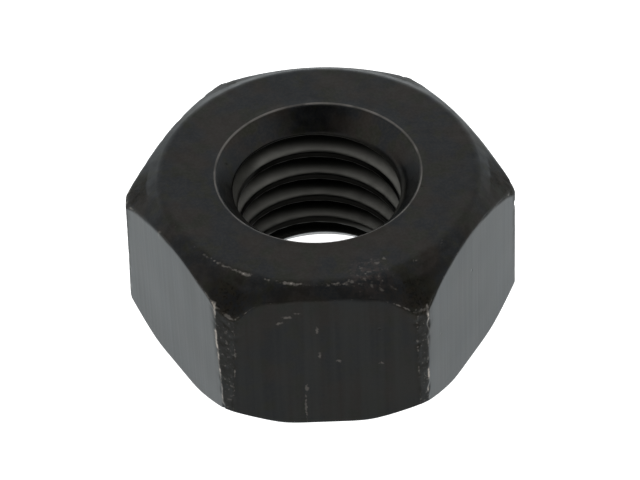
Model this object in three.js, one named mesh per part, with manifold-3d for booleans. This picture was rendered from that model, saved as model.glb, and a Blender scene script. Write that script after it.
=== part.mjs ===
// A heavy hex nut, 1/2-13 UNC, in blackened steel: one forged, chamfered and tapped piece.
// Millimetres, +Z up, origin at the middle of the underside, two flats facing along Y.
import * as THREE from "three";
import { mergeVertices } from "three/addons/utils/BufferGeometryUtils.js";
import Module from "manifold-3d";

const INCH = 25.4;
const ACROSS_FLATS = 22.2;
const THICKNESS = 11.8;
const CORNER_RADIUS = 0.6;

// The top chamfer reaches the flats. The lower one starts outside them, so it trims only the corners.
const TOP_FACE_DIAMETER = 20.6;
const TOP_CHAMFER_DEGREES = 40;
const UNDERSIDE_DIAMETER = 22.5;
const UNDERSIDE_CHAMFER_DEGREES = 45;

// Unified inch thread, right-handed, with the basic 60 degree profile.
const THREAD_DIAMETER = INCH / 2;
const PITCH = INCH / 13;
const PROFILE_HEIGHT = (PITCH * Math.sqrt(3)) / 2;
const MINOR_DIAMETER = THREAD_DIAMETER - (5 / 4) * PROFILE_HEIGHT;
const COUNTERSINK_DIAMETER = 13.3;
const COUNTERSINK_DEGREES = 82;
const THREAD_START_DEGREES = 143;

// Shares of one pitch taken by the groove's floor, each flank and the ridge's land.
const GROOVE_SHARE = 1 / 8;
const FLANK_SHARE = 5 / 16;
const LAND_SHARE = 1 / 4;

const CUT_MARGIN = 0.5;
const ROUND_SEGMENTS = 96;
const STEPS_PER_TURN = 20;
const CORNER_SEGMENTS = 6;

const wasm = await Module();
wasm.setup();

const tangent = (degrees) => Math.tan(THREE.MathUtils.degToRad(degrees));

function solidFrom(geometry) {
  geometry.deleteAttribute("normal");
  geometry.deleteAttribute("uv");
  const merged = mergeVertices(geometry, 1e-4);
  return new wasm.Manifold(
    new wasm.Mesh({
      numProp: 3,
      vertProperties: merged.attributes.position.array,
      triVerts: new Uint32Array(merged.index.array),
    }),
  );
}

function geometryFrom(solid) {
  const mesh = solid.getMesh();
  const geometry = new THREE.BufferGeometry();
  geometry.setAttribute("position", new THREE.BufferAttribute(mesh.vertProperties, 3));
  geometry.setIndex(new THREE.BufferAttribute(mesh.triVerts, 1));
  geometry.computeVertexNormals();
  return geometry;
}

// A solid of revolution about Z from [radius, height] points that start and end on the axis.
function turned(points) {
  const profile = points.map(([radius, height]) => new THREE.Vector2(radius, height));
  const geometry = new THREE.LatheGeometry(profile, ROUND_SEGMENTS);
  geometry.rotateX(Math.PI / 2);
  return solidFrom(geometry);
}

// The hexagonal bar, with a small arc at each corner.
function hexagonBar() {
  const centreDistance = (ACROSS_FLATS / 2 - CORNER_RADIUS) / Math.cos(Math.PI / 6);
  const outline = new THREE.Shape();
  for (let corner = 0; corner < 6; corner += 1) {
    const angle = (corner * Math.PI) / 3;
    outline.absarc(
      centreDistance * Math.cos(angle),
      centreDistance * Math.sin(angle),
      CORNER_RADIUS,
      angle - Math.PI / 6,
      angle + Math.PI / 6,
    );
  }
  outline.closePath();
  return solidFrom(
    new THREE.ExtrudeGeometry(outline, {
      depth: THICKNESS,
      bevelEnabled: false,
      curveSegments: CORNER_SEGMENTS,
    }),
  );
}

// The double cone that trims the bar's corners above and below.
function chamferEnvelope() {
  const topRadius = TOP_FACE_DIAMETER / 2;
  const undersideRadius = UNDERSIDE_DIAMETER / 2;
  const outerRadius = ACROSS_FLATS / Math.sqrt(3) + CUT_MARGIN;
  const undersideRise = (outerRadius - undersideRadius) * tangent(UNDERSIDE_CHAMFER_DEGREES);
  const topDrop = (outerRadius - topRadius) * tangent(TOP_CHAMFER_DEGREES);
  return turned([
    [0, 0],
    [undersideRadius, 0],
    [outerRadius, undersideRise],
    [outerRadius, THICKNESS - topDrop],
    [topRadius, THICKNESS],
    [0, THICKNESS],
  ]);
}

// The thread's section square to the axis: once around it is one pitch of the profile.
function threadSection() {
  const groove = THREAD_DIAMETER / 2;
  const land = MINOR_DIAMETER / 2;
  const stretches = [
    [GROOVE_SHARE, groove, groove],
    [FLANK_SHARE, groove, land],
    [LAND_SHARE, land, land],
    [FLANK_SHARE, land, groove],
  ];
  const points = [];
  let start = -GROOVE_SHARE / 2;
  for (const [share, from, to] of stretches) {
    const count = Math.ceil(share * STEPS_PER_TURN);
    for (let i = 0; i < count; i += 1) {
      const along = i / count;
      const radius = THREE.MathUtils.lerp(from, to, along);
      const angle = 2 * Math.PI * (start + share * along);
      points.push(new THREE.Vector2(radius * Math.cos(angle), radius * Math.sin(angle)));
    }
    start += share;
  }
  return new THREE.Shape(points);
}

// The tap's solid: the section extruded past both faces and twisted one turn for each pitch.
function threadTap() {
  const length = THICKNESS + 2 * CUT_MARGIN;
  const geometry = new THREE.ExtrudeGeometry(threadSection(), {
    depth: length,
    steps: Math.round((length / PITCH) * STEPS_PER_TURN),
    bevelEnabled: false,
  });
  geometry.translate(0, 0, -CUT_MARGIN);
  const position = geometry.attributes.position;
  const point = new THREE.Vector3();
  const axis = new THREE.Vector3(0, 0, 1);
  const startAngle = THREE.MathUtils.degToRad(THREAD_START_DEGREES);
  for (let i = 0; i < position.count; i += 1) {
    point.fromBufferAttribute(position, i);
    point.applyAxisAngle(axis, startAngle + (2 * Math.PI * point.z) / PITCH);
    position.setXYZ(i, point.x, point.y, point.z);
  }
  return solidFrom(geometry);
}

// A countersink cone for the top or, turned over, for the underside.
function countersink(onTop) {
  const mouthRadius = COUNTERSINK_DIAMETER / 2;
  const slope = tangent(COUNTERSINK_DEGREES / 2);
  const wideRadius = mouthRadius + CUT_MARGIN * slope;
  const tipDepth = mouthRadius / slope;
  return onTop
    ? turned([
        [0, THICKNESS - tipDepth],
        [wideRadius, THICKNESS + CUT_MARGIN],
        [0, THICKNESS + CUT_MARGIN],
      ])
    : turned([
        [0, -CUT_MARGIN],
        [wideRadius, -CUT_MARGIN],
        [0, tipDepth],
      ]);
}

function hexNut() {
  const solid = hexagonBar()
    .intersect(chamferEnvelope())
    .subtract(threadTap())
    .subtract(countersink(true))
    .subtract(countersink(false));
  const blackSteel = new THREE.MeshStandardMaterial({
    color: 0x2e2d2b,
    roughness: 0.42,
    metalness: 0.85,
  });
  const mesh = new THREE.Mesh(geometryFrom(solid), blackSteel);
  mesh.name = "hex_nut";
  return mesh;
}

const part = new THREE.Group();
part.add(hexNut());

export default part;
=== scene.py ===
"""A blackened heavy hex nut: its detailed mesh and steel, on a pale floor in soft light."""
import math
from collections import namedtuple

import bpy
import numpy as np
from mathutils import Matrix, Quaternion, Vector, noise


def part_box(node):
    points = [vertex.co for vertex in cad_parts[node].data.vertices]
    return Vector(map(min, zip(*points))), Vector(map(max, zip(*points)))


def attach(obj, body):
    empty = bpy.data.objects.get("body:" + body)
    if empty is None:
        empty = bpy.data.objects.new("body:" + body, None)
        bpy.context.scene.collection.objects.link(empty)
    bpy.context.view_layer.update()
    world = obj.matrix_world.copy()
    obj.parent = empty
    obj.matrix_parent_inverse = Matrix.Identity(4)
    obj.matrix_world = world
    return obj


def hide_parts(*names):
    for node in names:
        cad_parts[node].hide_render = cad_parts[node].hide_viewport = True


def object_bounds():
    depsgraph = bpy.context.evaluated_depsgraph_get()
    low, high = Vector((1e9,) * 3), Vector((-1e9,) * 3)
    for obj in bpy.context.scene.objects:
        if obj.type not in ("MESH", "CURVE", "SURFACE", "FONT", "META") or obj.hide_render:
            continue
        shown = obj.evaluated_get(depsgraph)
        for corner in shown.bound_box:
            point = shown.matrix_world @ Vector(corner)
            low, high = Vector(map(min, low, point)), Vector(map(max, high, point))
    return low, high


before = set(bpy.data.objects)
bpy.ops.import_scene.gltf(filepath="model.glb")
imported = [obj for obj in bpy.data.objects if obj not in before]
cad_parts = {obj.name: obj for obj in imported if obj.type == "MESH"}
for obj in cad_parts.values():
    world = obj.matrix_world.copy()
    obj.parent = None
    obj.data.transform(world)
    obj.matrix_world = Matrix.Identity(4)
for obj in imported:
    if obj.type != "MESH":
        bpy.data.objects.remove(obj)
CAD_LOW, CAD_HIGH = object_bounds()
NODE_LOW, NODE_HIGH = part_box("hex_nut")

MM = 0.001
SIXTH = math.pi / 3

# The nut in millimetres, as in the CAD part. Its flats and corners are counted from +X, round by the back.
HEIGHT = (NODE_HIGH.z - NODE_LOW.z) / MM
APOTHEM = (NODE_HIGH.y - NODE_LOW.y) / MM / 2
TOP_FACE_RADIUS = 10.3
TOP_CHAMFER_SLOPE = math.tan(math.radians(40))
UNDERSIDE_RADIUS = 11.25
MOUTH_RADIUS = 6.65
MOUTH_SLOPE = math.tan(math.radians(41))
PITCH = 25.4 / 13
GROOVE_RADIUS = 6.35
LAND_RADIUS = GROOVE_RADIUS - 5 / 8 * PITCH * math.sqrt(3) / 2
THREAD_START = math.radians(143)
GROOVE_HALF = PITCH / 16
FLANK_END = GROOVE_HALF + (GROOVE_RADIUS - LAND_RADIUS) / math.sqrt(3)
FRONT_FLAT = 4
SIDE_LENGTH = 2 * APOTHEM * math.tan(SIXTH / 2)

# Each upright corner is worn to a narrow band of these widths, low and high. The band's two edges, before and
# after the corner, are rubbed bright to their own strengths.
BAND_WIDTHS = [(0.34, 0.38), (0.4, 0.28), (0.4, 0.2), (0.34, 0.95), (0.66, 1.5), (0.62, 0.85)]
BAND_TOP = 0.8 * HEIGHT
BAND_EDGE_BLEND = 0.05
BAND_EDGE_WEAR = [(0.6, 0.8), (0.7, 0.5), (0.6, 0.7), (0.8, 0.6), (1.1, 0.5), (0.5, 1.1)]
BAND_EDGE_SPREAD = 0.11

# The top's chamfer was turned slightly askew: it starts further in at the back and is steeper at the front.
SKEW_ANGLE = math.radians(103)
REAR_SHIFT = 0.2
REAR_EASING = 0.16
FRONT_SHIFT = 0.15
FRONT_STEEPENING = 0.2

# How much lower than the chamfer's own line the top edge of the front flat lies, at places along it from its
# middle, and a little way round both corners.
FRONT_EDGE = [
    (-9.5, 0), (-7.5, -0.3), (-5.7, 0.3), (-4.0, -0.35), (-2.2, 0),
    (0, 0.22), (2.1, 0), (4.1, -0.28), (6.3, 0.08), (9.2, 0),
]

# How softly each other edge is rounded. FLAT_WEAR is the extra rounding of each flat's top edge.
LEAST_BREAK = 0.12
BREAK_BLEND = 0.2
UNDERSIDE_FILLET = 0.1
FACE_EDGE_FILLET = 0.2
FLAT_WEAR = (0.95, 0.15, 0.55, 0.0, 0.0, 0.0)
FLAT_WEAR_REACH = 2.5
TIP_FILLET = 0.5
TIP_REACH = 1.0
TOP_EDGE_FILLET = 0.7
RIM_FILLET = 0.08
THREAD_FILLET = 0.03
CONE_BLEND = 0.2

# The thread reaches full depth, then its painted light full strength, between these distances from each end.
# At the left and right its painted light starts deeper by the fade, so the first turn dies away there.
RUN_IN = (0.3, 2.2)
LIT_IN = (1.7, 2.6)
FIRST_TURN_FADE = 1.2

# Columns of the mesh round the axis, closer together at each upright corner, and rows along each stretch.
CORNER_HALF_ANGLE = math.radians(3.2)
CORNER_COLUMNS = 22
FLAT_COLUMNS = 34
UNDERSIDE_ROWS = 8
BREAK_ROWS = 2
SIDE_ROWS = 56
CHAMFER_ROWS = 14
TOP_ROWS = 16
BORE_ROWS = 150
SHARP_ARC_ROWS = 4
WIDE_ARC_ROWS = 7

# Wear: how deep handling has pressed and chipped the outside, how far dirt reaches from the corners, the
# scuffed patch beside the front edge, and the stretch of the top face's edge that is rubbed bright.
RIPPLE_DEPTH = 0.035
RIPPLE_LENGTH = 3.5
CHIP_DEPTH = 0.22
CHIP_LENGTH = 0.65
CHIP_THRESHOLD = 0.1
WANDER = 0.09
WANDER_LENGTH = 0.8
CORNER_SPREAD = 1.5
SIDE_DIRT_REACH = 0.4
FRONT_DIRT_REACH = 1.4
FRONT_DIRT_HEIGHT = (8, 10.5)
SCUFF_ANGLE = math.radians(-73)
SCUFF_RADIUS = 10.0
SCUFF_SPREAD = 1.3
RUBBED_ANGLE = math.radians(251)
RUBBED_SPREAD = math.radians(14)

Row = namedtuple("Row", "radius height zone bend")
UNDERSIDE, SIDE, FACE_EDGE, CHAMFER, TOP_EDGE, TOP, RIM, BORE = range(8)


def columns():
    """Angles of the mesh's columns, from one corner round to the next, six times."""
    corner = np.linspace(-CORNER_HALF_ANGLE, CORNER_HALF_ANGLE, CORNER_COLUMNS, endpoint=False)
    flat = np.linspace(CORNER_HALF_ANGLE, SIXTH - CORNER_HALF_ANGLE, FLAT_COLUMNS, endpoint=False)
    one = np.concatenate([corner, flat])
    return np.concatenate([one + SIXTH * k for k in range(6)])


def smooth_max(a, b, width):
    """The larger of two values, blended over the given width."""
    gap = np.maximum(width - np.abs(a - b), 0) / width
    return np.maximum(a, b) + gap * gap * width / 4


def smooth_step(value, low, high):
    """0 at low, 1 at high, held beyond both, and a smooth rise between."""
    t = np.clip((value - low) / (high - low), 0, 1)
    return t * t * (3 - 2 * t)


def eased(value, points):
    """A smooth line through some points, level at each of them."""
    places, heights = np.array(points).T
    after = np.clip(np.searchsorted(places, value), 1, len(places) - 1)
    rise = heights[after] - heights[after - 1]
    return heights[after - 1] + rise * smooth_step(value, places[after - 1], places[after])


def band_width(angle, height):
    """Width of the band across the nearest upright corner."""
    nearest = np.round(angle / SIXTH).astype(int) % 6
    low, high = np.array(BAND_WIDTHS).T[:, nearest]
    return low + (high - low) * smooth_step(height, 0, BAND_TOP)


def plan_radius(angle, height):
    """Distance from the axis to the hexagon's outline, with a worn band across each corner."""
    from_flat = np.abs((angle % SIXTH) - SIXTH / 2)
    hexagon = APOTHEM / np.cos(from_flat)
    band_distance = APOTHEM / math.cos(SIXTH / 2) - band_width(angle, height) / 2 * math.tan(SIXTH / 2)
    band = band_distance / np.cos(SIXTH / 2 - from_flat)
    return -smooth_max(-hexagon, -band, BAND_EDGE_BLEND)


def fillet(before, corner, after, radius, count, zone):
    """Rows of the arc that rounds a corner between its neighbours; each point is an (r, z) pair of arrays."""
    (bx, bz), (cx, cz), (ax, az) = before, corner, after
    in_length = np.hypot(cx - bx, cz - bz)
    out_length = np.hypot(ax - cx, az - cz)
    ix, iz = (cx - bx) / in_length, (cz - bz) / in_length
    ox, oz = (ax - cx) / out_length, (az - cz) / out_length
    turn = np.arccos(np.clip(ix * ox + iz * oz, -1, 1))
    reach = radius * np.tan(turn / 2)
    side = np.sign(ix * oz - iz * ox)
    px, pz = cx - ix * reach, cz - iz * reach
    centre_x, centre_z = px - iz * side * radius, pz + ix * side * radius
    dx, dz = px - centre_x, pz - centre_z
    rows = []
    for step in np.linspace(0, 1, count):
        a = turn * step * side
        x = centre_x + dx * np.cos(a) - dz * np.sin(a)
        z = centre_z + dx * np.sin(a) + dz * np.cos(a)
        rows.append(Row(x, z, zone, math.sin(math.pi * step)))
    return rows


def between(start, end, count, zone):
    """Rows strictly between two rows."""
    rows = []
    for step in np.linspace(0, 1, count + 2)[1:-1]:
        radius = start.radius + (end.radius - start.radius) * step
        height = start.height + (end.height - start.height) * step
        rows.append(Row(radius, height, zone, 0.0))
    return rows


def thread_radius(angle, height):
    """Radius of the tapped hole: one pitch runs groove floor, flank, land, flank."""
    phase = ((angle - THREAD_START) / (2 * math.pi) - height / PITCH) % 1
    from_groove = np.minimum(phase, 1 - phase) * PITCH
    flank = GROOVE_RADIUS - (from_groove - GROOVE_HALF) * math.sqrt(3)
    lowest = smooth_max(flank, np.full_like(flank, LAND_RADIUS), THREAD_FILLET)
    return -smooth_max(-lowest, np.full_like(flank, -GROOVE_RADIUS), THREAD_FILLET)


def outside_rows(angle):
    """The loop's outer part, from the underside's inner edge up and over to the top face's inner edge."""
    zero = np.zeros_like(angle)
    low_outer = plan_radius(angle, 0)
    high_outer = plan_radius(angle, HEIGHT)
    low_break = smooth_max(low_outer - UNDERSIDE_RADIUS, zero + LEAST_BREAK, BREAK_BLEND)
    rear = np.maximum(np.cos(angle - SKEW_ANGLE), 0)
    front = np.maximum(-np.cos(angle - SKEW_ANGLE), 0)
    face_radius = TOP_FACE_RADIUS - REAR_SHIFT * rear + FRONT_SHIFT * front
    slope = TOP_CHAMFER_SLOPE - REAR_EASING * rear + FRONT_STEEPENING * front
    flat = np.floor(angle / SIXTH).astype(int) % 6
    from_front = (flat - FRONT_FLAT) * SIDE_LENGTH + APOTHEM * np.tan((angle % SIXTH) - SIXTH / 2)
    top_drop = (high_outer - face_radius) * slope + eased(from_front, FRONT_EDGE)
    underside_inner = (zero + MOUTH_RADIUS, zero)
    underside_edge = (low_outer - low_break, zero)
    side_low = (low_outer, low_break)
    side_high = (high_outer, HEIGHT - top_drop)
    top_edge = (face_radius, zero + HEIGHT)
    top_inner = (zero + MOUTH_RADIUS, zero + HEIGHT)
    under_arc = fillet(underside_inner, underside_edge, side_low, UNDERSIDE_FILLET, SHARP_ARC_ROWS, UNDERSIDE)
    low_arc = fillet(underside_edge, side_low, side_high, UNDERSIDE_FILLET, SHARP_ARC_ROWS, SIDE)
    from_corner = np.abs((angle + SIXTH / 2) % SIXTH - SIXTH / 2) * high_outer
    face_edge_fillet = FACE_EDGE_FILLET + TIP_FILLET * np.exp(-(from_corner / TIP_REACH) ** 2)
    face_edge_fillet += np.array(FLAT_WEAR)[flat] * smooth_step(from_corner, 0, FLAT_WEAR_REACH)
    high_arc = fillet(side_low, side_high, top_edge, face_edge_fillet, WIDE_ARC_ROWS, FACE_EDGE)
    top_arc = fillet(side_high, top_edge, top_inner, TOP_EDGE_FILLET, WIDE_ARC_ROWS, TOP_EDGE)
    low_rim = Row(zero + MOUTH_RADIUS + RIM_FILLET, zero, UNDERSIDE, 0.0)
    top_rim = Row(zero + MOUTH_RADIUS + RIM_FILLET, zero + HEIGHT, RIM, 0.0)
    rows = [low_rim]
    rows += between(low_rim, under_arc[0], UNDERSIDE_ROWS, UNDERSIDE) + under_arc
    rows += between(under_arc[-1], low_arc[0], BREAK_ROWS, UNDERSIDE) + low_arc
    for row in between(low_arc[-1], high_arc[0], SIDE_ROWS, SIDE):
        rows.append(row._replace(radius=plan_radius(angle, row.height)))
    rows += high_arc
    rows += between(high_arc[-1], top_arc[0], CHAMFER_ROWS, CHAMFER) + top_arc
    rows += between(top_arc[-1], top_rim, TOP_ROWS, TOP) + [top_rim]
    return rows


def bore_radii(angle, height):
    """Radius of the thread, easing in from each end, and of the countersinks, at a height."""
    depth = np.minimum(height, HEIGHT - height)
    thread = LAND_RADIUS + (thread_radius(angle, height) - LAND_RADIUS) * smooth_step(depth, *RUN_IN)
    return thread, MOUTH_RADIUS - depth * MOUTH_SLOPE + 0 * angle


def inside_rows(angle):
    """The hole's wall from the top down: whichever reaches furthest out of thread and countersinks."""
    rows = []
    for step in np.linspace(0, 1, BORE_ROWS):
        height = HEIGHT * (1 - step)
        depth = min(height, HEIGHT - height)
        near_rim = max(0, 1 - depth / RIM_FILLET)
        wall = smooth_max(*bore_radii(angle, height), CONE_BLEND)
        rows.append(Row(
            wall + RIM_FILLET * near_rim ** 2 / 2,
            np.full_like(angle, height),
            RIM if near_rim > 0 else BORE,
            float(near_rim),
        ))
    return rows


def outward(points):
    """Unit normals of the grid of points, which closes on itself both ways."""
    round_axis = np.roll(points, -1, axis=1) - np.roll(points, 1, axis=1)
    along_loop = np.roll(points, -1, axis=0) - np.roll(points, 1, axis=0)
    normal = np.cross(round_axis, along_loop)
    return normal / np.maximum(np.linalg.norm(normal, axis=-1, keepdims=True), 1e-12)


def noise_at(points, length, shift):
    """Smooth noise of about -1 to 1 at each point, with bumps of the given length."""
    flat = points.reshape(-1, 3) / length + shift
    return np.array([noise.noise(p) for p in flat.tolist()]).reshape(points.shape[:-1])


def corner_masks(around, radius, height, zone, points):
    """Wear of the upright corners: the rubbed edges of their bands, dirt round them and grime on them."""
    from_corner = np.abs((around + SIXTH / 2) % SIXTH - SIXTH / 2) * radius
    from_band_edge = from_corner - band_width(around, height) / 2
    from_band_edge += noise_at(points, WANDER_LENGTH, 23.1) * WANDER
    nearest = np.round(around / SIXTH).astype(int)
    before, after = np.moveaxis(np.array(BAND_EDGE_WEAR)[nearest % 6], -1, 0)
    strength = np.where(around < nearest * SIXTH, before, after)
    rubbed = np.exp(-(from_band_edge / BAND_EDGE_SPREAD) ** 2) * strength
    on_front = np.floor(around / SIXTH) == FRONT_FLAT
    reach = SIDE_DIRT_REACH + FRONT_DIRT_REACH * on_front * smooth_step(height, *FRONT_DIRT_HEIGHT)
    near_corner = np.exp(-(from_corner / CORNER_SPREAD) ** 2) * (radius > APOTHEM)
    dirt = near_corner * (1 - (zone == SIDE) * smooth_step(from_band_edge / reach, 0, 1))
    return {
        "near": near_corner,
        "rubbed": rubbed * np.isin(zone, (SIDE, FACE_EDGE)),
        "dirt": dirt * (zone != UNDERSIDE) * smooth_step(height, 1, HEIGHT * 0.85),
        "grime": (zone == SIDE) * smooth_step(from_band_edge, 0.12, -0.12),
    }


def wear_masks(angle, rows, points):
    """Where each sort of wear lies, from 0 to 1, at every point of the grid."""
    radius = np.array([row.radius for row in rows])
    height = np.array([row.height for row in rows])
    zone = np.array([row.zone for row in rows])[:, None]
    bend = np.array([row.bend for row in rows])[:, None]
    around = np.broadcast_to(angle, radius.shape)
    corners = corner_masks(around, radius, height, zone, points)
    front = 0.5 - 0.5 * np.sin(around)
    top_rubbed = 0.1 + 0.42 * front ** 3 + 0.3 * np.exp(-((around - RUBBED_ANGLE) / RUBBED_SPREAD) ** 2)
    edges = np.maximum(corners["rubbed"], (zone == FACE_EDGE) * bend * (0.35 + 0.45 * corners["near"]))
    edges = np.maximum(edges, (zone == TOP_EDGE) * bend ** 2 * top_rubbed)
    from_scuff_x = radius * np.cos(around) - SCUFF_RADIUS * math.cos(SCUFF_ANGLE)
    from_scuff_y = radius * np.sin(around) - SCUFF_RADIUS * math.sin(SCUFF_ANGLE)
    scuff = np.exp(-(from_scuff_x ** 2 + from_scuff_y ** 2) / SCUFF_SPREAD ** 2)
    thread, cone = bore_radii(around, height)
    on_thread = (zone == BORE) * smooth_step(thread - cone, -0.1, 0.1)
    lit_depth = np.minimum(height, HEIGHT - height) - FIRST_TURN_FADE * np.abs(np.cos(around)) ** 3
    # Painted sheen: the hole's lowest millimetre gets rim steel, as if lit by the floor's glow.
    underside_mouth = (zone == BORE) * smooth_step(height, 1.5, 0.7)
    on_chamfer = (zone == CHAMFER) + 0.5 * np.isin(zone, (FACE_EDGE, TOP_EDGE))
    return {
        "edge_wear": edges,
        "corner": corners["dirt"],
        "rim_wear": np.maximum((zone == RIM) * np.maximum(bend, 0.25), 0.6 * underside_mouth),
        "scuff": scuff * np.isin(zone, (CHAMFER, TOP_EDGE, TOP)),
        "grime": corners["grime"],
        "upright": (zone == SIDE) * 1.0 + (zone == FACE_EDGE) * 0.5,
        "countersink": (zone == BORE) * 1.0 - on_thread,
        "thread": on_thread,
        # Where the thread's painted light and shade reach full strength.
        "full_thread": on_thread * smooth_step(lit_depth, *LIT_IN),
        # The chamfer's darker oxide, deepened toward the front as painted shade.
        "chamfer": on_chamfer * (0.2 + 0.8 * front ** 2),
    }


def worn(points, masks, rows):
    """The grid pressed in slightly: shallow ripples over the outside and small chips along its edges."""
    zone = np.array([row.zone for row in rows])[:, None]
    outside = np.isin(zone, (SIDE, FACE_EDGE, CHAMFER, TOP_EDGE, TOP))
    ripple = (noise_at(points, RIPPLE_LENGTH, 5.3) + 1) / 2 * RIPPLE_DEPTH
    chips = np.maximum(noise_at(points, CHIP_LENGTH, 11.7) - CHIP_THRESHOLD, 0) * CHIP_DEPTH
    edge = np.minimum(masks["edge_wear"] * 0.8 + masks["scuff"] * 0.12 + masks["corner"] * 0.35, 1)
    return points - outward(points) * (outside * ripple + chips * edge)[..., None]


def nut_mesh():
    """One closed mesh: a grid of columns round the axis and rows round the loop."""
    angle = columns()
    rows = outside_rows(angle) + inside_rows(angle)
    radius = np.array([row.radius for row in rows])
    height = np.array([row.height for row in rows])
    points = np.stack([radius * np.cos(angle), radius * np.sin(angle), height], axis=-1)
    masks = wear_masks(angle, rows, points)
    points = worn(points, masks, rows)
    index = np.arange(radius.size).reshape(radius.shape)
    above = np.roll(index, -1, axis=0)
    faces = np.stack([index, np.roll(index, -1, axis=1), np.roll(above, -1, axis=1), above], axis=-1)
    mesh = bpy.data.meshes.new("hex_nut_body")
    mesh.from_pydata((points.reshape(-1, 3) * MM).tolist(), [], faces.reshape(-1, 4).tolist())
    mesh.update()
    mesh.shade_smooth()
    for name, mask in masks.items():
        values = np.broadcast_to(mask, radius.shape).astype(np.float32).reshape(-1)
        mesh.attributes.new(name, "FLOAT", "POINT").data.foreach_set("value", values)
    return mesh


class Graph:
    """Builds a node tree: each method adds nodes and returns an output socket, or all of them for None."""

    def __init__(self, tree):
        self.tree = tree

    def add(self, kind, inputs=(), output=0, **settings):
        node = self.tree.nodes.new(kind)
        for name, value in settings.items():
            setattr(node, name, value)
        for slot, value in dict(inputs).items():
            self.feed(node.inputs[slot], value)
        return node.outputs if output is None else node.outputs[output]

    def feed(self, socket, value):
        if isinstance(value, bpy.types.NodeSocket):
            self.tree.links.new(value, socket)
        else:
            socket.default_value = value

    def math(self, operation, a, b=0.0):
        return self.add("ShaderNodeMath", {0: a, 1: b}, operation=operation)

    def times(self, a, b):
        return self.math("MULTIPLY", a, b)

    def plus(self, a, b):
        return self.math("ADD", a, b)

    def minus(self, a, b):
        return self.math("SUBTRACT", a, b)

    def larger(self, a, b):
        return self.math("MAXIMUM", a, b)

    def length(self, vector):
        return self.add("ShaderNodeVectorMath", {0: vector}, output="Value", operation="LENGTH")

    def dot(self, a, b):
        return self.add("ShaderNodeVectorMath", {0: a, 1: b}, output="Value", operation="DOT_PRODUCT")

    def scaled(self, vector, factors):
        return self.add("ShaderNodeVectorMath", {0: vector, 1: factors}, operation="MULTIPLY")

    def ramp(self, value, low, high, start=0.0, end=1.0):
        """From start at low to end at high, smoothly."""
        return self.add(
            "ShaderNodeMapRange",
            {0: value, 1: low, 2: high, 3: start, 4: end},
            interpolation_type="SMOOTHSTEP",
        )

    def noise(self, vector, scale, detail=2.0):
        return self.add("ShaderNodeTexNoise", {"Vector": vector, "Scale": scale, "Detail": detail})

    def cells(self, vector, scale, output):
        return self.add("ShaderNodeTexVoronoi", {"Vector": vector, "Scale": scale}, output=output)

    def mask(self, name):
        return self.add("ShaderNodeAttribute", output=2, attribute_name=name)

    def blend(self, amount, low, high):
        return self.add("ShaderNodeMix", {0: amount, 6: low, 7: high}, output=2, data_type="RGBA")


Masks = namedtuple(
    "Masks",
    "edge_wear corner rim_wear scuff grime upright countersink thread full_thread chamfer",
)
Noises = namedtuple("Noises", "patches clouds bands coarse lumps pitting streaks specks fine grain")
Rubbed = namedtuple("Rubbed", "thin bare rim pit")

# Colours that the metal reflects, as linear values.
BLUE_BLACK = (0.0104, 0.0112, 0.0122, 1)
BROWN_BLACK = (0.0142, 0.0124, 0.0110, 1)
OLIVE_BLACK = (0.0118, 0.0121, 0.0096, 1)
FLAT_BLACK = (0.0088, 0.0092, 0.0088, 1)
DRAWN_BLACK = (0.0142, 0.0149, 0.0143, 1)
SPECKLE_BLACK = (0.0190, 0.0182, 0.0166, 1)
CHAMFER_BLACK = (0.0062, 0.0058, 0.0048, 1)
# Painted highlight: the thread's flanks brighten from the grooves' black to this.
FLANK_HIGHLIGHT_PAINT = (0.0880, 0.0870, 0.0800, 1)
GROOVE_BLACK = (0.0120, 0.0122, 0.0105, 1)
# Painted shade on the thread's lands.
LAND_SHADE_PAINT = (0.0040, 0.0040, 0.0036, 1)
EDGE_TINT = (0.95, 0.985, 1, 1)
# Painted shade: this tint damps the grazing reflection on the lands and at the thread's dim ends.
CREST_SHADE_TINT = (0.5, 0.5, 0.5, 1)
SCUFFED_BLACK = (0.0235, 0.0200, 0.0190, 1)
BARE_STEEL = (0.24, 0.222, 0.20, 1)
RUBBED_STEEL = (0.062, 0.058, 0.053, 1)
# Rubbed steel on the rims, and a painted sheen low in the hole.
RIM_STEEL_AND_MOUTH_SHEEN = (0.085, 0.081, 0.076, 1)
RUST = (0.0172, 0.0150, 0.0112, 1)
MEAN_ROUGHNESS = 0.55
PIT_SCALE = 0.55

# Marks of handling, as (middle, half size) in millimetres: nine on the front flat, one on the top edge of the
# flat to each side of it, and eleven in the scuffed patch above it.
NICKS = [
    ((-1.2, -11.1, 3.3), (0.10, 0.4, 0.22)),
    ((-1.3, -11.1, 1.6), (0.07, 0.4, 0.9)),
    ((-0.3, -11.1, 6.2), (0.09, 0.4, 0.22)),
    ((-0.4, -11.1, 8.4), (0.08, 0.4, 0.35)),
    ((0.9, -11.1, 5.6), (0.13, 0.4, 0.12)),
    ((3.6, -11.1, 5.3), (0.15, 0.4, 0.09)),
    ((-2.7, -11.1, 9.1), (0.20, 0.4, 0.13)),
    ((-2.2, -11.1, 9.6), (0.28, 0.4, 0.10)),
    ((-1.6, -11.1, 9.9), (0.35, 0.4, 0.07)),
    ((-10.3, -4.4, 11.0), (0.22, 0.12, 0.3)),
    ((8.4, -7.7, 10.9), (0.10, 0.16, 0.3)),
    ((1.5, -10.4, 11.6), (0.16, 0.08, 0.5)),
    ((1.9, -10.2, 11.7), (0.11, 0.10, 0.5)),
    ((2.3, -9.8, 11.8), (0.12, 0.09, 0.5)),
    ((2.7, -10.1, 11.7), (0.10, 0.12, 0.5)),
    ((3.0, -9.5, 11.8), (0.13, 0.08, 0.5)),
    ((2.5, -9.1, 11.8), (0.09, 0.09, 0.5)),
    ((3.5, -8.7, 11.8), (0.16, 0.10, 0.5)),
    ((4.0, -8.3, 11.8), (0.12, 0.10, 0.5)),
    ((3.1, -10.4, 11.5), (0.13, 0.08, 0.5)),
    ((3.7, -10.5, 11.3), (0.18, 0.07, 0.5)),
    ((4.5, -10.3, 11.2), (0.20, 0.08, 0.5)),
]


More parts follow.
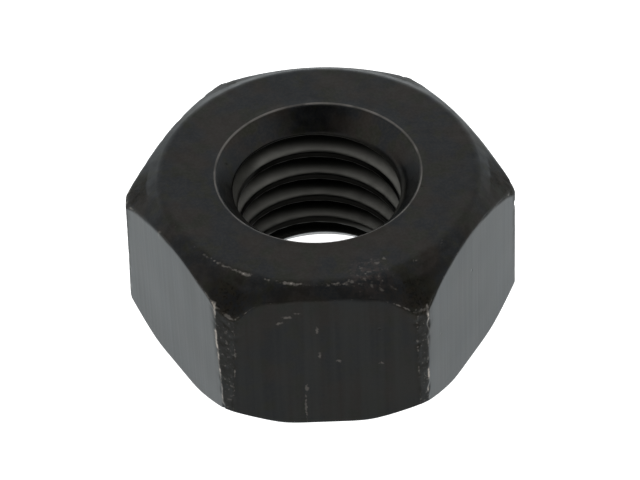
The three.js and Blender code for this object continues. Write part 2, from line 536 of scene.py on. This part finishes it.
def nicks(g, place, fine):
    """Small bright marks, each the inside of a stretched and ragged ball."""
    ragged = g.ramp(fine, 0.35, 0.65, -0.5, 0.6)
    marks = 0.0
    for middle, half_size in NICKS:
        offset = g.add("ShaderNodeVectorMath", {0: place, 1: middle}, operation="SUBTRACT")
        stretched = g.scaled(offset, [1 / size for size in half_size])
        marks = g.larger(marks, g.ramp(g.plus(g.length(stretched), ragged), 1.3, 0.4))
    return marks


def pits(g, place):
    """A few small round pits, in only some cells of the pattern."""
    chosen = g.ramp(g.cells(place, PIT_SCALE, "Color"), 0.7, 0.72)
    return g.times(g.ramp(g.cells(place, PIT_SCALE, "Distance"), 0.08, 0.035), chosen)


def groove_distance(g, place):
    """Distance along the axis from the middle of the nearest groove of the thread."""
    parts = g.add("ShaderNodeSeparateXYZ", {0: place}, output=None)
    turn = g.math("DIVIDE", g.math("ARCTAN2", parts["Y"], parts["X"]), 2 * math.pi)
    rise = g.math("DIVIDE", parts["Z"], PITCH)
    phase = g.math("FRACT", g.minus(g.minus(turn, THREAD_START / (2 * math.pi)), rise))
    return g.times(g.math("MINIMUM", phase, g.minus(1.0, phase)), PITCH)


def shared_noises(g, place):
    """The patterns that colour, gloss and relief share, with their scales in cycles per millimetre."""
    return Noises(
        patches=g.noise(place, 0.35, 3),
        clouds=g.noise(g.scaled(place, (1, 1, -1)), 0.8, 3),
        bands=g.noise(g.scaled(place, (1, 1, 0.06)), 0.9, 2),
        coarse=g.noise(place, 0.8, 2),
        lumps=g.noise(place, 1.3, 3),
        pitting=g.noise(place, 2.6, 3),
        streaks=g.noise(g.scaled(place, (1, 1, 0.02)), 2.6, 4),
        specks=g.noise(place, 3.4, 4),
        fine=g.noise(place, 4.5, 3),
        grain=g.noise(place, 6, 3),
    )


def oxide_colour(g, noises, masks):
    """Mottled black drawn lengthwise on flats; darker chamfer, with painted shade at the front; dirty
    corners.
    """
    colour = g.blend(g.ramp(noises.patches, 0.42, 0.6), BLUE_BLACK, BROWN_BLACK)
    colour = g.blend(g.ramp(noises.clouds, 0.5, 0.65), colour, OLIVE_BLACK)
    colour = g.blend(g.times(masks.upright, 0.4), colour, FLAT_BLACK)
    drawn = g.times(g.ramp(g.plus(noises.streaks, noises.bands), 0.75, 1.25), masks.upright)
    colour = g.blend(g.times(drawn, 0.7), colour, DRAWN_BLACK)
    speckle = g.times(g.ramp(noises.grain, 0.42, 0.62, 0, 0.35), g.ramp(masks.upright, 0, 1, 1, 0.35))
    colour = g.blend(speckle, colour, SPECKLE_BLACK)
    # Darker oxide on the chamfer, deepened toward the front as painted shade.
    darker = g.times(masks.chamfer, g.ramp(noises.lumps, 0.4, 0.6, 0.05, 0.38))
    colour = g.blend(darker, colour, CHAMFER_BLACK)
    rusty = g.times(masks.corner, g.ramp(noises.pitting, 0.42, 0.6, 0, 0.6))
    colour = g.blend(rusty, colour, RUST)
    dirty = g.times(masks.corner, g.ramp(noises.grain, 0.52, 0.62, 0, 0.8))
    colour = g.blend(dirty, colour, CHAMFER_BLACK)
    grimy = g.times(masks.grime, g.ramp(noises.pitting, 0.4, 0.62, 0.1, 0.8))
    return g.blend(grimy, colour, CHAMFER_BLACK)


def thread_colour(g, from_groove, crest, masks):
    """Painted light on the thread: black grooves, a painted highlight up the flanks, painted shade on the
    lands.
    """
    lit = g.times(g.ramp(from_groove, 0.2, FLANK_END - 0.1), g.ramp(masks.full_thread, 0, 1, 0.2, 1))
    return g.blend(crest, g.blend(lit, GROOVE_BLACK, FLANK_HIGHLIGHT_PAINT), LAND_SHADE_PAINT)


def rubbed_places(g, place, noises, masks):
    """Oxide rubbed thin and through to bare steel, rims polished, a painted sheen low in the hole, and pits.
    """
    edge = g.times(masks.edge_wear, g.ramp(noises.coarse, 0.35, 0.65, 0.3, 1.05))
    edge = g.minus(edge, g.times(masks.scuff, 0.3))
    edge = g.plus(edge, g.times(g.minus(noises.fine, 0.5), 1.2))
    specks = g.times(g.ramp(masks.scuff, 0.1, 0.5), g.ramp(noises.specks, 0.56, 0.9))
    thin = g.larger(g.ramp(edge, 0.35, 0.65), g.times(nicks(g, place, noises.fine), 0.65))
    thin = g.larger(thin, specks)
    thin = g.larger(thin, g.times(masks.grime, g.ramp(noises.fine, 0.6, 0.7, 0, 0.7)))
    bare = g.larger(g.ramp(edge, 0.7, 1.05), g.times(specks, g.ramp(noises.fine, 0.5, 0.8)))
    # The rims are rubbed steel; low in the hole the same steel is a painted sheen.
    rim = g.times(g.ramp(masks.rim_wear, 0.15, 0.7), g.ramp(noises.coarse, 0.3, 0.7, 0.35, 1))
    return Rubbed(thin, bare, rim, pits(g, place))


def rubbed_colour(g, colour, rubbed, noises, masks):
    """A colour with the scuffed patch, the pits and the rubbed steel over it."""
    colour = g.blend(g.times(masks.scuff, g.ramp(noises.pitting, 0.4, 0.6)), colour, SCUFFED_BLACK)
    colour = g.blend(g.times(rubbed.pit, 0.5), colour, CHAMFER_BLACK)
    colour = g.blend(rubbed.thin, colour, RUBBED_STEEL)
    # Rim steel, with the painted sheen low in the hole.
    colour = g.blend(rubbed.rim, colour, RIM_STEEL_AND_MOUTH_SHEEN)
    return g.blend(rubbed.bare, colour, BARE_STEEL)


def roughness(g, crest, rubbed, noises, masks):
    """Uneven, in lines along the flats: duller in dirt and wear, and glossier on flats and countersinks."""
    uneven = g.times(g.minus(noises.lumps, 0.5), g.ramp(masks.upright, 0, 1, 0.25, 0))
    lined = g.times(g.minus(noises.streaks, 0.5), g.times(masks.upright, 0.06))
    rough = g.plus(g.plus(uneven, lined), MEAN_ROUGHNESS)
    rough = g.plus(rough, g.times(masks.corner, 0.18))
    rough = g.plus(rough, g.times(masks.chamfer, 0.1))
    rough = g.minus(rough, g.times(crest, 0.2))
    rough = g.minus(rough, g.times(masks.upright, 0.17))
    rough = g.minus(rough, g.times(masks.countersink, 0.2))
    return g.plus(rough, g.times(g.larger(rubbed.bare, rubbed.rim), 0.12))


def relief(g, pit, noises, masks):
    """Height of the surface in millimetres: rolled lumps, drawn lines, grain and pits."""
    rolled = g.times(noises.lumps, g.ramp(masks.upright, 0, 1, 0.014, 0.0006))
    pitted = g.times(noises.pitting, g.ramp(masks.corner, 0, 1, 0.0004, 0.02))
    grainy = g.times(noises.grain, g.ramp(masks.upright, 0, 1, 0.003, 0.0001))
    drawn = g.times(g.times(noises.streaks, masks.upright), 0.007)
    height = g.plus(g.plus(grainy, g.plus(rolled, pitted)), drawn)
    return g.minus(height, g.times(pit, 0.012))


def black_steel():
    """Black oxide on steel, rubbed bright along the edges, with painted light and shade in the thread."""
    material = bpy.data.materials.new("black_steel")
    material.use_nodes = True
    g = Graph(material.node_tree)
    shader = material.node_tree.nodes["Principled BSDF"]
    place = g.scaled(g.add("ShaderNodeTexCoord", output="Object"), (1 / MM, 1 / MM, 1 / MM))
    masks = Masks(*[g.mask(name) for name in Masks._fields])
    noises = shared_noises(g, place)
    from_groove = groove_distance(g, place)
    # The lands of the lit turns, which take painted shade and are glossier.
    crest = g.times(g.ramp(from_groove, FLANK_END - 0.16, FLANK_END + 0.08), masks.full_thread)
    rubbed = rubbed_places(g, place, noises, masks)

    colour = oxide_colour(g, noises, masks)
    colour = g.blend(masks.thread, colour, thread_colour(g, from_groove, crest, masks))
    g.feed(shader.inputs["Base Color"], rubbed_colour(g, colour, rubbed, noises, masks))
    shader.inputs["Metallic"].default_value = 1.0
    # Painted shade: the grazing reflection is damped on the lands and at the thread's dim ends.
    unlit = g.larger(crest, g.minus(masks.thread, masks.full_thread))
    g.feed(shader.inputs["Specular Tint"], g.blend(unlit, EDGE_TINT, CREST_SHADE_TINT))
    g.feed(shader.inputs["Roughness"], roughness(g, crest, rubbed, noises, masks))
    height = relief(g, rubbed.pit, noises, masks)
    bump = g.add("ShaderNodeBump", {"Height": height, "Distance": MM, "Strength": 1.0})
    g.feed(shader.inputs["Normal"], bump)
    return material


# The floor, in metres, glows. The tent's opening is an oval, wider than it is high: dark within its inner
# radius, and bright past its outer one.
FLOOR_SIZE = 6
FLOOR_GLOW = 1.28
FLOOR_TONE = (0.27, 0.27, 0.27, 1)
TENT_BRIGHTNESS = 1.9
GAP_BRIGHTNESS = 0.03
GAP_ELEVATION = math.radians(43)
GAP_INNER = math.sin(math.radians(14))
GAP_OUTER = math.sin(math.radians(31))
GAP_STRETCH = 1.55


def studio():
    """A pale, faintly lit floor in a light tent that is dark only round the camera's opening."""
    bpy.ops.mesh.primitive_plane_add(size=FLOOR_SIZE)
    floor = bpy.context.object
    floor.name = "floor"
    floor.location.z = CAD_LOW.z
    paint = bpy.data.materials.new("floor_paint")
    paint.use_nodes = True
    shader = paint.node_tree.nodes["Principled BSDF"]
    shader.inputs["Base Color"].default_value = FLOOR_TONE
    shader.inputs["Roughness"].default_value = 0.9
    shader.inputs["Specular IOR Level"].default_value = 0.0
    shader.inputs["Emission Color"].default_value = (1, 1, 1, 1)
    shader.inputs["Emission Strength"].default_value = FLOOR_GLOW
    floor.data.materials.append(paint)

    world = bpy.data.worlds.new("light_tent")
    bpy.context.scene.world = world
    world.use_nodes = True
    g = Graph(world.node_tree)
    direction = g.add("ShaderNodeTexCoord", output="Generated")
    above = (0, math.sin(GAP_ELEVATION), math.cos(GAP_ELEVATION))
    sideways = g.dot(direction, (1 / GAP_STRETCH, 0, 0))
    upwards = g.dot(direction, above)
    from_gap = g.length(g.add("ShaderNodeCombineXYZ", {0: sideways, 1: upwards}))
    strength = g.ramp(from_gap, GAP_INNER, GAP_OUTER, GAP_BRIGHTNESS, TENT_BRIGHTNESS)
    background = world.node_tree.nodes["Background"]
    background.inputs["Color"].default_value = (1, 1, 1, 1)
    g.feed(background.inputs["Strength"], strength)


# The camera's distance and aim are in millimetres, and its lens is in Blender's own millimetres.
CAMERA_DISTANCE = 260
CAMERA_ELEVATION = math.radians(43.3)
CAMERA_TURN = math.radians(0.4)
CAMERA_ROLL = math.radians(2.4)
CAMERA_LENS = 223.9
AIM_DROP = 0.12
AIM_LEFT = 0.05
CLIP = (0.01, 20)


def camera():
    """The photograph's point of view: above the front flat, with a long lens and a slight roll."""
    back = Vector((
        math.sin(CAMERA_TURN) * math.cos(CAMERA_ELEVATION),
        -math.cos(CAMERA_TURN) * math.cos(CAMERA_ELEVATION),
        math.sin(CAMERA_ELEVATION),
    ))
    data = bpy.data.cameras.new("camera")
    data.lens = CAMERA_LENS
    data.clip_start, data.clip_end = CLIP
    holder = bpy.data.objects.new("camera", data)
    bpy.context.scene.collection.objects.link(holder)
    holder.rotation_mode = "QUATERNION"
    holder.rotation_quaternion = Quaternion(back, -CAMERA_ROLL) @ (-back).to_track_quat("-Z", "Y")
    shift = holder.rotation_quaternion @ Vector((AIM_LEFT, AIM_DROP, 0))
    aim = Vector((0, 0, HEIGHT / 2)) - shift
    holder.location = (aim + back * CAMERA_DISTANCE) * MM
    bpy.context.scene.camera = holder


def nut():
    """The nut itself, in place of the CAD node."""
    body = bpy.data.objects.new("hex_nut_body", nut_mesh())
    bpy.context.scene.collection.objects.link(body)
    body.data.materials.append(black_steel())
    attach(body, "root")
    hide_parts("hex_nut")


camera()
studio()
nut()
bpy.context.scene.view_settings.view_transform = "Standard"
